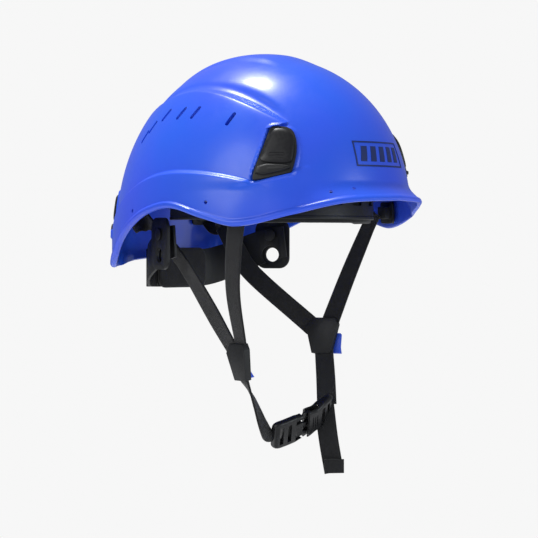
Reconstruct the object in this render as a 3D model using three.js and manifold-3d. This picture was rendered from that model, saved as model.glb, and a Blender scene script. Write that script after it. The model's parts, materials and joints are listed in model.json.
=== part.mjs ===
// Climbing helmet with a moulded shell, a strap suspension, a ratchet nape cradle
// and a four-strand chin strap closed by a side-release buckle.
// Millimetres, +Z up, the front is -Y and the wearer's left is +X.
// The origin is the centre of the headband, where the head carries the helmet.

import * as THREE from 'three';
import { mergeVertices } from 'three/addons/utils/BufferGeometryUtils.js';
import Module from 'manifold-3d';

const wasm = await Module();
wasm.setup();

// ---------------------------------------------------------------- dimensions
const SHELL = { halfWidth: 104, front: 130, rear: 127, crown: 123, wall: 3, power: 2.1 };
const SHELL_CENTRE_FRONT = -5;
const SHELL_CENTRE_REAR = -25;
const SHELL_SECTORS = 60;
const SHELL_RINGS = 14;
const RIM_HEIGHT = [
  [0, 5], [25, 2.5], [45, -6.5], [65, -15.5], [78, -9], [91, -1], [103, -5],
  [113, -14], [123, -26], [133, -40], [143, -48], [160, -44], [180, -41],
];
const BRIM = { reach: 11, halfAngle: 62, top: 20 };
const PANEL = { rise: 2.6, peakAngle: 97, peakHeight: 93, frontAngle: 44, rearAngle: 152 };
const LEDGE = { rise: 2.6, peakAngle: 90, peakHeight: 28 };
const VENT = { length: 13, width: 3.2, slant: 27, drop: 15, angles: [66, 86, 97, 108, 117, 124] };

const CLIP = { width: 32, height: 41, plate: 3.4, sunk: 1, leaf: 2.2, leafGap: 0.4 };
const CLIPS = [
  { name: 'front_right', angle: -50, z: 44, scale: 1 },
  { name: 'front_left', angle: 50, z: 44, scale: 1 },
  { name: 'rear_right', angle: -146, z: -2, scale: 0.82 },
  { name: 'rear_left', angle: 146, z: -2, scale: 0.82 },
];
const BADGE = { width: 60, height: 20, depth: 0.7, z: 40 };

const BAND = { halfWidth: 76, halfLength: 98, height: 26, thick: 2, z: 2, endAngle: 112 };
const BROW_PAD = { endAngle: 62, height: 30, thick: 4, z: 1 };
const LUG = {
  angle: 118, z: -30, width: 30, height: 42, thick: 2.8, offset: 4, clearance: 0.5, hole: 6, eyeShare: -0.22, pivotShare: 0.18,
};
const RIVET = { shank: 2.6, head: 5, headThick: 1.2, armSpace: 4.2 };
const ARM = { thick: 2, frontHeight: 26, rearHeight: 32, eyeSpace: 2 };
const ARM_PATH = [[69.5, 33, -28], [65.8, 45.6, -30], [58.2, 64.6, -37], [48, 82, -45], [38, 91, -49], [30.5, 94.5, -50]];
const HOUSING = { halfWidth: 28, front: 91, rear: 101.5, z: -50, height: 32, wall: 2 };
const COVER = { thick: 2.2, gap: 0.4, hole: 4.6 };
const KNOB = { radius: 15.5, thick: 10, ribs: 24, rib: 0.9, shaft: 4 };
const PINION = { pitch: 5, teeth: 12, tooth: 0.9, thick: 5 };
const RACK = { length: 32, height: 7, thick: 3, tooth: 1.1 };

const WEB = { width: 16, thick: 1.6 };
const FRONT_ANCHOR = { x: 84, y: -44, z: -18 };
const REAR_ROUTES = {
  right: [[-50.5, 95.5, -13], [-47, 83, -12.5], [-45.4, 68, -26], [-52, 37, -50]],
  left: [[50.5, 95.5, -14], [47, 83, -14], [46, 69, -33], [51, 53, -56]],
};
const DIVIDERS = {
  right: { centre: [-57, -25, -124], normal: [-0.93, 0.32, -0.17] },
  left: { centre: [62, -14, -107], normal: [0.963, 0.214, -0.166] },
};
const DIVIDER_THICK = 6;
const LEVER = { width: 9, length: 17, thick: 3, overhang: 10.5 };
const BUCKLE = { end: [-24, -31, -191], axis: [0.852, -0.188, 0.488], faceHint: [0, -0.92, -0.4] };
const BUCKLE_SIZE = { length: 62, width: 27, thick: 9, wall: 2.4, pocket: 18 };
const TAIL_END = [31, -51, -217];

// ---------------------------------------------------------------- small maths
const vec = (x, y, z) => new THREE.Vector3(x, y, z);
const rad = THREE.MathUtils.degToRad;
const lerp = THREE.MathUtils.lerp;
const step = (x, low, high) => THREE.MathUtils.smoothstep(x, low, high);

// Smooth curve through [x, y] knots, with the slopes of a Catmull-Rom spline.
function curveThrough(knots, x) {
  const last = knots.length - 2;
  let i = 0;
  while (i < last && x > knots[i + 1][0]) i += 1;
  const slope = (k) => {
    const a = knots[Math.max(k - 1, 0)];
    const b = knots[Math.min(k + 1, knots.length - 1)];
    return (b[1] - a[1]) / (b[0] - a[0]);
  };
  const span = knots[i + 1][0] - knots[i][0];
  const t = THREE.MathUtils.clamp((x - knots[i][0]) / span, 0, 1);
  const t2 = t * t;
  const t3 = t2 * t;
  return (2 * t3 - 3 * t2 + 1) * knots[i][1] + (t3 - 2 * t2 + t) * span * slope(i)
    + (3 * t2 - 2 * t3) * knots[i + 1][1] + (t3 - t2) * span * slope(i + 1);
}

// Right-handed frame at a point: z is the face normal, y is as near to up as it can be.
function frameAt(point, normal, upHint) {
  const n = normal.clone().normalize();
  const y = upHint.clone().addScaledVector(n, -upHint.dot(n)).normalize();
  const x = y.clone().cross(n);
  return new THREE.Matrix4().makeBasis(x, y, n).setPosition(point);
}

// ---------------------------------------------------------------- closed bodies
function signedVolume(positions, faces) {
  const [a, b, c] = [vec(), vec(), vec()];
  let sum = 0;
  for (const face of faces) {
    a.fromArray(positions, face[0] * 3);
    b.fromArray(positions, face[1] * 3);
    c.fromArray(positions, face[2] * 3);
    sum += a.dot(b.cross(c));
  }
  return sum / 6;
}

function bodyFrom(points, faces) {
  const positions = points.flatMap((p) => [p.x, p.y, p.z]);
  const outward = signedVolume(positions, faces) > 0;
  const index = faces.flatMap((f) => (outward ? f : [f[0], f[2], f[1]]));
  const geometry = new THREE.BufferGeometry();
  geometry.setAttribute('position', new THREE.Float32BufferAttribute(positions, 3));
  geometry.setIndex(index);
  return geometry;
}

function joinRings(faces, first, second, count) {
  for (let i = 0; i < count; i += 1) {
    const j = (i + 1) % count;
    faces.push([first + i, second + i, second + j], [first + i, second + j, first + j]);
  }
}

// A body lofted through sections of equal point count, capped at both ends or closed on itself.
function loft(sections, closed = false) {
  const count = sections[0].length;
  const faces = [];
  const rounds = closed ? sections.length : sections.length - 1;
  for (let s = 0; s < rounds; s += 1) joinRings(faces, s * count, ((s + 1) % sections.length) * count, count);
  if (!closed) {
    const last = (sections.length - 1) * count;
    for (let i = 1; i < count - 1; i += 1) {
      faces.push([0, i, i + 1], [last, last + i + 1, last + i]);
    }
  }
  return bodyFrom(sections.flat(), faces);
}

// A body of revolution-like rings that closes on one point at each end.
function loftToPoles(top, rings, bottom) {
  const count = rings[0].length;
  const faces = [];
  for (let s = 0; s < rings.length - 1; s += 1) joinRings(faces, s * count, (s + 1) * count, count);
  const topIndex = rings.length * count;
  const last = (rings.length - 1) * count;
  for (let i = 0; i < count; i += 1) {
    const j = (i + 1) % count;
    faces.push([topIndex, i, j], [topIndex + 1, last + j, last + i]);
  }
  return bodyFrom([...rings.flat(), top, bottom], faces);
}

// A flat band along a path: each station has a centre and a face normal.
function band(stations, width, thick) {
  const sections = stations.map(({ p, n }, i) => {
    const before = stations[Math.max(i - 1, 0)].p;
    const after = stations[Math.min(i + 1, stations.length - 1)].p;
    const along = after.clone().sub(before).normalize();
    const face = n.clone().addScaledVector(along, -n.dot(along)).normalize();
    const side = along.clone().cross(face);
    const w = (typeof width === 'function' ? width(i / (stations.length - 1)) : width) / 2;
    return [[1, 1], [-1, 1], [-1, -1], [1, -1]].map(([a, b]) => (
      p.clone().addScaledVector(side, a * w).addScaledVector(face, b * thick / 2)));
  });
  return loft(sections);
}

function stationsAlong(points, normals, count) {
  const path = new THREE.CatmullRomCurve3(points, false, 'centripetal');
  const facing = new THREE.CatmullRomCurve3(normals, false, 'centripetal');
  return Array.from({ length: count + 1 }, (_, i) => (
    { p: path.getPoint(i / count), n: facing.getPoint(i / count) }));
}

// ---------------------------------------------------------------- booleans
function solidOf(geometry) {
  const bare = geometry.clone();
  bare.deleteAttribute('normal');
  bare.deleteAttribute('uv');
  const merged = mergeVertices(bare, 1e-4);
  return new wasm.Manifold(new wasm.Mesh({
    numProp: 3,
    vertProperties: new Float32Array(merged.attributes.position.array),
    triVerts: new Uint32Array(merged.index.array),
  }));
}

function geometryOf(solid) {
  const mesh = solid.getMesh();
  const geometry = new THREE.BufferGeometry();
  geometry.setAttribute('position', new THREE.BufferAttribute(mesh.vertProperties, 3));
  geometry.setIndex(new THREE.BufferAttribute(mesh.triVerts, 1));
  return geometry;
}

const cut = (geometry, tools) => geometryOf(
  tools.reduce((solid, tool) => solid.subtract(solidOf(tool)), solidOf(geometry)));
const join = (parts) => geometryOf(parts.map(solidOf).reduce((all, next) => all.add(next)));

const block = (width, depth, height, x = 0, y = 0, z = 0) => (
  new THREE.BoxGeometry(width, depth, height).translate(x, y, z));

function plate(outline, thick, from = 0) {
  const shape = new THREE.Shape(outline.map(([x, y]) => new THREE.Vector2(x, y)));
  return new THREE.ExtrudeGeometry(shape, { depth: thick, bevelEnabled: false }).translate(0, 0, from);
}

// A plate with round corners, centred on the frame's origin.
function roundPlate(width, height, corner, thick, from = 0, segments = 4) {
  const [w, h] = [width / 2 - corner, height / 2 - corner];
  const shape = new THREE.Shape();
  shape.absarc(w, h, corner, 0, Math.PI / 2);
  shape.absarc(-w, h, corner, Math.PI / 2, Math.PI);
  shape.absarc(-w, -h, corner, Math.PI, 1.5 * Math.PI);
  shape.absarc(w, -h, corner, 1.5 * Math.PI, 2 * Math.PI);
  shape.closePath();
  const options = { depth: thick, bevelEnabled: false, curveSegments: segments };
  return new THREE.ExtrudeGeometry(shape, options).translate(0, 0, from);
}

// A round pin along the local z axis.
const pin = (radius, length, from, sides = 20) => (
  new THREE.CylinderGeometry(radius, radius, length, sides).rotateX(Math.PI / 2).translate(0, 0, from + length / 2));

// ---------------------------------------------------------------- shell surface
// The angle runs round the plan ellipse: 0 is the front, 90 the wearer's left, 180 the rear.
const sweep = (angle) => (1 - Math.cos(rad(angle))) / 2;
const centreHeight = (angle) => lerp(SHELL_CENTRE_FRONT, SHELL_CENTRE_REAR, sweep(angle));
const rimHeight = (angle) => curveThrough(RIM_HEIGHT, Math.abs(angle));

const panelEdge = (angle) => {
  const away = (Math.abs(angle) - PANEL.peakAngle) / 50;
  return PANEL.peakHeight - (away < 0 ? 28 : 22) * away * away;
};
const ledgeEdge = (angle) => {
  const away = (Math.abs(angle) - LEDGE.peakAngle) / 30;
  return LEDGE.peakHeight - (away < 0 ? 9 : 17) * away * away;
};

// How far the surface stands out from the plain dome: side panel, ledge band and brim.
function relief(angle, z) {
  const a = Math.abs(angle);
  const side = step(a, PANEL.frontAngle - 6, PANEL.frontAngle + 2) * (1 - step(a, PANEL.rearAngle - 4, PANEL.rearAngle + 6));
  const panel = PANEL.rise * side * (1 - step(z, panelEdge(angle) - 3, panelEdge(angle) + 2));
  const ledge = LEDGE.rise * side * (1 - step(z, ledgeEdge(angle) - 4, ledgeEdge(angle)));
  const brim = BRIM.reach * (1 - step(a, 10, BRIM.halfAngle)) * (1 - step(z, rimHeight(angle), BRIM.top)) ** 1.5;
  return panel + ledge + brim;
}

function shellPoint(angle, z, outward = 0) {
  const centre = centreHeight(angle);
  const level = THREE.MathUtils.clamp((z - centre) / (SHELL.crown - centre), 0, 1);
  const round = (1 - level ** SHELL.power) ** (1 / SHELL.power);
  const length = Math.abs(angle) < 90 ? SHELL.front : SHELL.rear;
  const extra = relief(angle, z) * Math.min(1, round * 2) + outward;
  return vec(
    (SHELL.halfWidth * round + extra) * Math.sin(rad(angle)),
    -(length * round + extra) * Math.cos(rad(angle)),
    z,
  );
}

// Frame on the shell's outer surface: x runs round the shell, y up it, z out of it.
function shellFrame(angle, z) {
  const p = shellPoint(angle, z);
  const around = shellPoint(angle + 1, z).sub(shellPoint(angle - 1, z));
  const up = shellPoint(angle, z + 1.5).sub(shellPoint(angle, z - 1.5));
  return frameAt(p, around.cross(up), vec(0, 0, 1));
}

// Height at a share of the way from the crown (0) to the rim (1).
function meridianHeight(angle, share) {
  const centre = centreHeight(angle);
  const rim = rimHeight(angle);
  const level = (rim - centre) / (SHELL.crown - centre);
  const end = Math.asin(THREE.MathUtils.clamp(level, -1, 1));
  return centre + (SHELL.crown - centre) * Math.sin(lerp(Math.PI / 2, end, share));
}

function shellWall() {
  const ringAt = (share, inset) => Array.from({ length: SHELL_SECTORS }, (_, i) => {
    const angle = -180 + (360 * i) / SHELL_SECTORS;
    const z = meridianHeight(angle, share);
    const drop = inset * (1 - share) ** 0.6;
    return shellPoint(angle, z, -inset * share ** 0.35).setZ(z - drop);
  });
  const shares = Array.from({ length: SHELL_RINGS }, (_, i) => (i + 1) / SHELL_RINGS);
  const outer = shares.map((share) => ringAt(share, 0));
  const inner = shares.map((share) => ringAt(share, SHELL.wall)).reverse();
  return loftToPoles(vec(0, 0, SHELL.crown), [...outer, ...inner], vec(0, 0, SHELL.crown - SHELL.wall));
}

function ventTool(side, angle) {
  const z = panelEdge(angle) - VENT.drop;
  const slot = roundPlate(VENT.width, VENT.length, VENT.width / 2 - 0.01, 24, -14, 3);
  return slot.rotateZ(rad(side * VENT.slant)).applyMatrix4(shellFrame(side * angle, z));
}

const clipFrame = (clip) => shellFrame(clip.angle, clip.z);

function clipOutline(clip, grow = 0) {
  return [CLIP.width * clip.scale + grow, CLIP.height * clip.scale + grow, 8 * clip.scale];
}

function outerShell() {
  const vents = [-1, 1].flatMap((side) => VENT.angles.map((angle) => ventTool(side, angle)));
  const seats = CLIPS.map((clip) => {
    const [width, height, corner] = clipOutline(clip, 0.8);
    return roundPlate(width, height, corner, 20, -CLIP.sunk - 0.4).applyMatrix4(clipFrame(clip));
  });
  return cut(shellWall(), [...vents, ...seats]);
}

// ---------------------------------------------------------------- accessory clips
const CLIP_TOP = CLIP.plate - CLIP.sunk;

// A seat plate with a stepped stop block at its foot.
function clipBase(clip) {
  const [width, height, corner] = clipOutline(clip);
  const seat = roundPlate(width, height, corner, CLIP.plate, -CLIP.sunk);
  const foot = block(width * 0.8, height * 0.2, 3.4, 0, -height * 0.37, CLIP_TOP + 1.2);
  return join([seat, foot]);
}

// The spring leaf, hinged at its top edge.
function clipTongue(clip) {
  const [width, height] = clipOutline(clip);
  const leaf = roundPlate(width * 0.84, height * 0.66, 5 * clip.scale, CLIP.leaf, CLIP_TOP + CLIP.leafGap);
  return leaf.translate(0, height * 0.14, 0);
}

// ---------------------------------------------------------------- front badge
function frontBadge() {
  const columns = 12;
  const half = (BADGE.width / 2 / SHELL.halfWidth) * (180 / Math.PI);
  const sections = Array.from({ length: columns + 1 }, (_, i) => {
    const angle = lerp(-half, half, i / columns);
    const [low, high] = [BADGE.z - BADGE.height / 2, BADGE.z + BADGE.height / 2];
    const rows = [low, BADGE.z, high];
    const inside = rows.map((z) => shellPoint(angle, z, 0.4));
    const outside = rows.map((z) => shellPoint(angle, z, 0.4 + BADGE.depth)).reverse();
    return [...inside, ...outside];
  });
  return loft(sections);
}

// ---------------------------------------------------------------- headband
const bandPoint = (angle, z, outward = 0) => vec(
  (BAND.halfWidth + outward) * Math.sin(rad(angle)),
  -(BAND.halfLength + outward) * Math.cos(rad(angle)),
  z,
);
const bandNormal = (angle) => vec(
  Math.sin(rad(angle)) / BAND.halfWidth, -Math.cos(rad(angle)) / BAND.halfLength, 0).normalize();

function bandArc(endAngle, z, outward, height, thick, count) {
  const stations = Array.from({ length: count + 1 }, (_, i) => {
    const angle = lerp(-endAngle, endAngle, i / count);
    return { p: bandPoint(angle, z, outward), n: bandNormal(angle) };
  });
  return band(stations, height, thick);
}

const lugFrame = (side) => frameAt(
  bandPoint(side * LUG.angle, LUG.z, LUG.offset), bandNormal(side * LUG.angle), vec(0, 0, 1));

function hangerLug() {
  const body = roundPlate(LUG.width, LUG.height, 9, LUG.thick, -LUG.thick / 2);
  const eye = pin(LUG.hole, 20, -10, 28).translate(0, LUG.height * LUG.eyeShare, 0);
  const pivot = pin(RIVET.shank + LUG.clearance, 20, -10);
  return cut(body, [eye, pivot.translate(0, LUG.height * LUG.pivotShare, 0)]);
}


function pivotRivet() {
  const [inner, outer] = [-LUG.offset - RIVET.armSpace, LUG.thick / 2 + 0.4];
  const profile = [
    [0, inner - RIVET.headThick], [RIVET.head, inner - RIVET.headThick], [RIVET.head, inner],
    [RIVET.shank, inner], [RIVET.shank, outer], [RIVET.head, outer],
    [RIVET.head, outer + RIVET.headThick], [0, outer + RIVET.headThick],
  ];
  const turned = new THREE.LatheGeometry(profile.map(([r, h]) => new THREE.Vector2(r, h)), 20);
  return turned.rotateX(Math.PI / 2).translate(0, LUG.height * LUG.pivotShare, 0);
}

// The arm turns on the rivet and is notched below it, so that the lug's eye stays open.
function napeArm(side) {
  const points = ARM_PATH.map(([x, y, z]) => vec(side * x, y, z));
  const normals = ARM_PATH.map(([x, y]) => vec(side * x / BAND.halfWidth ** 2, y / BAND.halfLength ** 2, 0).normalize());
  normals[normals.length - 1].set(side * 0.1, 1, 0).normalize();
  const height = (share) => lerp(ARM.frontHeight, ARM.rearHeight, share);
  const strip = band(stationsAlong(points, normals, 14), height, ARM.thick);
  const hole = pin(RIVET.shank + 0.8, 24, -16).translate(0, LUG.height * LUG.pivotShare, 0);
  const notch = pin(LUG.hole + ARM.eyeSpace, 24, -16, 28).translate(0, LUG.height * LUG.eyeShare, 0);
  return cut(strip, [hole, notch].map((tool) => tool.applyMatrix4(lugFrame(side))));
}

// ---------------------------------------------------------------- ratchet
const housingMiddle = (HOUSING.front + HOUSING.rear) / 2;
const coverFront = HOUSING.rear + COVER.gap;
const knobFront = coverFront + COVER.thick + 0.5;
const rackMiddle = HOUSING.rear - 1 - PINION.thick / 2;

function ratchetHousing() {
  const { halfWidth, height, wall, z } = HOUSING;
  const depth = HOUSING.rear - HOUSING.front;
  const body = block(halfWidth * 2, depth, height, 0, housingMiddle, z);
  const hollow = block((halfWidth - wall) * 2, depth, height - wall * 2, 0, housingMiddle + wall, z);
  const gates = block(halfWidth * 2 + 4, RACK.thick + 1, 18, 0, rackMiddle, z);
  return cut(body, [hollow, gates]);
}

function ratchetCover() {
  const body = block(HOUSING.halfWidth * 2, COVER.thick, HOUSING.height, 0, coverFront + COVER.thick / 2, HOUSING.z);
  const bore = pin(COVER.hole, 20, -10, 24).rotateX(-Math.PI / 2).translate(0, coverFront, HOUSING.z);
  return cut(body, [bore]);
}

// A gear-like disc: teeth or grip ribs round its edge.
function toothedDisc(radius, depth, count, thick) {
  const outline = Array.from({ length: count * 4 }, (_, i) => {
    const out = i % 4 < 2 ? depth : 0;
    const turn = (2 * Math.PI * (i - 0.5)) / (count * 4);
    return [(radius + out) * Math.cos(turn), (radius + out) * Math.sin(turn)];
  });
  return plate(outline, thick, -thick / 2);
}

const onKnobAxis = (geometry, y) => geometry.rotateX(-Math.PI / 2).translate(0, y, HOUSING.z);

function adjusterKnob() {
  const grip = onKnobAxis(toothedDisc(KNOB.radius - KNOB.rib, KNOB.rib, KNOB.ribs, KNOB.thick), knobFront + KNOB.thick / 2);
  const reach = knobFront - rackMiddle - PINION.thick / 2 - 0.4;
  const shaft = onKnobAxis(pin(KNOB.shaft, reach + 1, 0, 16), knobFront - reach);
  const recess = onKnobAxis(pin(5, 4, 0, 20), knobFront + KNOB.thick - 2.4);
  return cut(join([grip, shaft]), [recess]);
}

const knobScrew = () => onKnobAxis(pin(4.4, 1.6, 0, 20), knobFront + KNOB.thick - 2);

const drivePinion = () => onKnobAxis(
  toothedDisc(PINION.pitch - PINION.tooth, PINION.tooth, PINION.teeth, PINION.thick), rackMiddle);

// A straight toothed rack; the right one runs over the pinion and the left one under it.
function rack(side) {
  const above = side < 0 ? 1 : -1;
  const start = side * (HOUSING.halfWidth - 3);
  const inner = PINION.pitch + 0.5;
  const pitch = (2 * Math.PI * PINION.pitch) / PINION.teeth;
  const outline = [[start, inner + RACK.height], [start, inner + RACK.tooth]];
  const teeth = Math.floor(RACK.length / pitch);
  for (let i = 0; i < teeth; i += 1) {
    const x = start - side * pitch * (i + 0.5);
    outline.push([x, inner + RACK.tooth], [x - side * pitch * 0.25, inner + 0.1]);
  }
  outline.push([start - side * RACK.length, inner + RACK.tooth], [start - side * RACK.length, inner + RACK.height]);
  const upright = outline.map(([x, h]) => [x, above * h]);
  const body = plate(upright, RACK.thick, -RACK.thick / 2);
  return body.rotateX(Math.PI / 2).translate(0, rackMiddle, HOUSING.z);
}

function napePad() {
  const pad = roundPlate(58, 34, 8, 4, -2);
  return pad.rotateX(Math.PI / 2).translate(0, HOUSING.front - 2.4, HOUSING.z);
}

// ---------------------------------------------------------------- suspension
const HOOKS = [
  { name: 'front_right', angle: -62, z: -4 },
  { name: 'front_left', angle: 62, z: -4 },
  { name: 'rear_right', angle: -152, z: -4 },
  { name: 'rear_left', angle: 152, z: -4 },
];

// A plate against the shell's inside with an arm that reaches in to the headband.
function suspensionHook(hook) {
  const frame = shellFrame(hook.angle, hook.z);
  const wallPlate = roundPlate(20, 18, 3, 2.4, -SHELL.wall - 5);
  const stem = block(12, 10, 6, 0, 0, -SHELL.wall - 7);
  return join([wallPlate, stem]).applyMatrix4(frame);
}

// Two textile bands cross under the crown from hook to hook.
function crownStrap(side, lift) {
  const front = shellFrame(side * 62, 14);
  const rear = shellFrame(-side * 152, 14);
  const start = vec(0, 0, -SHELL.wall - 6).applyMatrix4(front);
  const end = vec(0, 0, -SHELL.wall - 6).applyMatrix4(rear);
  const count = 16;
  const points = Array.from({ length: count + 1 }, (_, i) => {
    const share = i / count;
    const flat = start.clone().lerp(end, share);
    flat.z += (82 + lift) * Math.sin(Math.PI * share) ** 0.8;
    return flat;
  });
  const normals = points.map((p) => vec(p.x * 0.6, p.y * 0.6, 62).normalize());
  const stations = points.map((p, i) => ({ p, n: normals[i] }));
  return band(stations, 18, 1.4);
}

// ---------------------------------------------------------------- chin strap
const sideWord = (side) => (side < 0 ? 'right' : 'left');
const dividerCentre = (side) => vec(...DIVIDERS[sideWord(side)].centre);
const dividerNormal = (side) => vec(...DIVIDERS[sideWord(side)].normal);
const dividerFrame = (side) => frameAt(dividerCentre(side), dividerNormal(side), vec(0, 0, 1));

// The right lever lies on the inner face of its divider, the left one on the outer face.
const leverFrame = (side) => (side > 0 ? dividerFrame(side)
  : frameAt(dividerCentre(side), dividerNormal(side).negate(), vec(0, 0, 1)));

// Outline seen from outside the strap, with the forward side of each divider on its own side.
function strapDivider(side) {
  const forward = side < 0 ? 1 : -1;
  const outline = [[-15, 7], [-8, 15], [12, 15], [14, 10], [9, -15], [-8, -15]];
  return plate(outline.map(([x, y]) => [forward * x, y]), DIVIDER_THICK, -DIVIDER_THICK / 2);
}

// The quick-adjust lever lies on a face of the divider, hinged at its upper edge; an offset
// one stands past the forward edge for the thumb.
function dividerLever(offset) {
  const { thick, length } = LEVER;
  const outline = [[0, 0], [thick, -1], [thick, -length * 0.7], [thick + 2.5, -length], [0, -length]];
  const profile = plate(outline, LEVER.width, -LEVER.width / 2);
  return profile.rotateY(-Math.PI / 2).translate(offset, 3, DIVIDER_THICK / 2 + 0.4);
}

// The front strands hang straight, slack by a few millimetres at the middle.
function frontStrap(side) {
  const top = vec(side * FRONT_ANCHOR.x, FRONT_ANCHOR.y, FRONT_ANCHOR.z);
  const centre = dividerCentre(side);
  const towards = top.clone().sub(centre).normalize();
  const bottom = centre.clone().addScaledVector(towards, 17.5).add(vec(0, -2, 0));
  const middle = top.clone().lerp(bottom, 0.5).add(side < 0 ? vec(0, 6, 0) : vec(1.5, 2, 0));
  const normals = [vec(side, side < 0 ? -0.1 : -0.35, 0.1), vec(side, -0.1, 0.05), dividerNormal(side)];
  return band(stationsAlong([top, middle, bottom], normals, 12), WEB.width, WEB.thick);
}

// The rear strands come over the nape arms and down inside them.
function rearStrap(side) {
  const route = REAR_ROUTES[sideWord(side)].map((p) => vec(...p));
  const centre = dividerCentre(side);
  const towards = route[3].clone().sub(centre).normalize();
  const bottom = centre.clone().addScaledVector(towards, 18.5);
  const normals = [vec(side * 0.75, 0.65, 0), vec(side * 0.8, 0.6, 0), vec(side * 0.95, 0.3, 0),
    vec(side * 0.97, 0.2, -0.1), dividerNormal(side)];
  return band(stationsAlong([...route, bottom], normals, 20), WEB.width, WEB.thick);
}

const buckleAxis = vec(...BUCKLE.axis).normalize();
const buckleFrame = () => {
  const centre = vec(...BUCKLE.end).addScaledVector(buckleAxis, BUCKLE_SIZE.length / 2);
  const face = vec(...BUCKLE.faceHint);
  const normal = face.addScaledVector(buckleAxis, -face.dot(buckleAxis)).normalize();
  const width = normal.clone().cross(buckleAxis);
  return new THREE.Matrix4().makeBasis(buckleAxis, width, normal).setPosition(centre);
};
const buckleLocal = (x, y, z) => vec(x, y, z).applyMatrix4(buckleFrame());
const buckleFace = () => vec(0, 0, 1).transformDirection(buckleFrame());

// The right lower strand turns on its way down and wraps round the end of the buckle.
function lowerStrapRight() {
  const half = BUCKLE_SIZE.length / 2;
  const start = dividerCentre(-1).add(vec(2.2, -1.4, -17.8));
  const end = buckleLocal(-half - 4.4, 0, -0.8);
  const points = [start, vec(-42, -27.5, -157), vec(-34, -30, -176), buckleLocal(-half - 7.5, 0, -1.2), end];
  const turn = (degrees) => vec(Math.cos(rad(degrees)), Math.sin(rad(degrees)), 0);
  const normals = [turn(168), turn(135), turn(112), buckleFace().negate(), buckleFace().negate()];
  const width = (share) => WEB.width * (1 - 0.3 * step(share, 0.35, 0.8));
  return band(stationsAlong(points, normals, 22), width, WEB.thick);
}

// The left lower strand runs flat to the upper corner of the buckle, where it threads through.
function lowerStrapLeft() {
  const half = BUCKLE_SIZE.length / 2;
  const start = dividerCentre(1).add(vec(-1, -3.5, -20.8));
  const end = buckleLocal(half + 3.6, 10.4, 0);
  const points = [start, start.clone().lerp(end, 0.5).add(vec(2, -2, -1)), end];
  const normals = [dividerNormal(1), vec(0.88, 0.46, -0.05), vec(0.8, 0.6, 0)];
  return band(stationsAlong(points, normals, 12), WEB.width, WEB.thick);
}

function strapTail() {
  const half = BUCKLE_SIZE.length / 2;
  const start = buckleLocal(half - 7, 0, 6.5);
  const end = vec(...TAIL_END);
  const points = [start, start.clone().lerp(end, 0.45).add(vec(1, 2, -2)), end];
  const normals = [buckleFace(), vec(-0.1, -1, -0.1), vec(-0.3, -0.95, 0)];
  return band(stationsAlong(points, normals, 12), WEB.width, WEB.thick);
}

// ---------------------------------------------------------------- buckle
function buckleFemale() {
  const { length, width, thick, wall, pocket } = BUCKLE_SIZE;
  const bodyLength = length / 2 - 1;
  const body = roundPlate(bodyLength, width, 4, thick, -thick / 2).translate(length / 2 - bodyLength / 2, 0, 0);
  const mouth = length / 2 - bodyLength;
  const hollow = block(pocket * 2, width - wall * 2, thick - wall * 2 + 0.6, mouth, 0, 0);
  const windows = block(pocket * 2 - 8, width + 4, 4.6, mouth, 0, 0);
  const loop = block(3.4, 18, thick + 4, length / 2 - 5.5, 0, 0);
  return cut(body, [hollow, windows, loop]);
}

function buckleMale() {
  const { length, width } = BUCKLE_SIZE;
  const body = roundPlate(26, width, 4, 6, -3).translate(-length / 2 + 13, 0, 0);
  const tongue = block(18, 5, 2.4, -length / 2 + 34, 0, 0);
  const loop = block(3.4, 18, 12, -length / 2 + 6, 0, 0);
  const shoulders = [-1, 1].map((side) => block(9, 5.4, 12, -length / 2 + 24, side * 8.5, 0));
  return cut(join([body, tongue]), [loop, ...shoulders]);
}

// One side prong with its squeeze pad; it starts in the male body and ends in the side window.
function buckleProng(side) {
  const outline = [[0, -1.6], [16, -1.2], [17.5, 0.2], [14, 3.4], [8, 4.6], [6, 1.8], [0, 1.6]];
  const body = plate(outline.map(([x, y]) => [x, side * y]), 2.4, -1.2);
  return body.translate(-BUCKLE_SIZE.length / 2 + 21.2, side * 8.4, 0);
}

// ---------------------------------------------------------------- materials
const material = (color, roughness, metalness = 0) => (
  new THREE.MeshStandardMaterial({ color, roughness, metalness }));
const finishes = {
  shell: () => material(0x2d5fe1, 0.25),
  plastic: () => material(0x17181b, 0.45),
  webbing: () => material(0x121316, 0.85),
  foam: () => material(0x1d1e21, 0.95),
  lever: () => material(0x2450d8, 0.4),
  badge: () => material(0x14213f, 0.5),
  steel: () => material(0x8d9095, 0.35, 1),
};

// ---------------------------------------------------------------- assembly
const helmet = new THREE.Group();

function add(name, geometry, finish, frame) {
  const mesh = new THREE.Mesh(geometry, finishes[finish]());
  mesh.name = name;
  if (frame) frame.decompose(mesh.position, mesh.quaternion, mesh.scale);
  helmet.add(mesh);
}

const SIDES = [{ side: -1, word: 'right' }, { side: 1, word: 'left' }];

add('outer_shell', outerShell(), 'shell');
add('front_badge', frontBadge(), 'badge');
for (const clip of CLIPS) {
  add(`clip_base_${clip.name}`, clipBase(clip), 'plastic', clipFrame(clip));
  add(`clip_tongue_${clip.name}`, clipTongue(clip), 'plastic', clipFrame(clip));
}

for (const hook of HOOKS) add(`suspension_hook_${hook.name}`, suspensionHook(hook), 'plastic');
add('crown_strap_right', crownStrap(-1, 0), 'webbing');
add('crown_strap_left', crownStrap(1, 4), 'webbing');

add('headband', bandArc(BAND.endAngle, BAND.z, 0, BAND.height, BAND.thick, 44), 'plastic');
const browInset = -(BAND.thick + BROW_PAD.thick) / 2 - 0.4;
add('brow_pad', bandArc(BROW_PAD.endAngle, BROW_PAD.z, browInset, BROW_PAD.height, BROW_PAD.thick, 24), 'foam');

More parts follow.
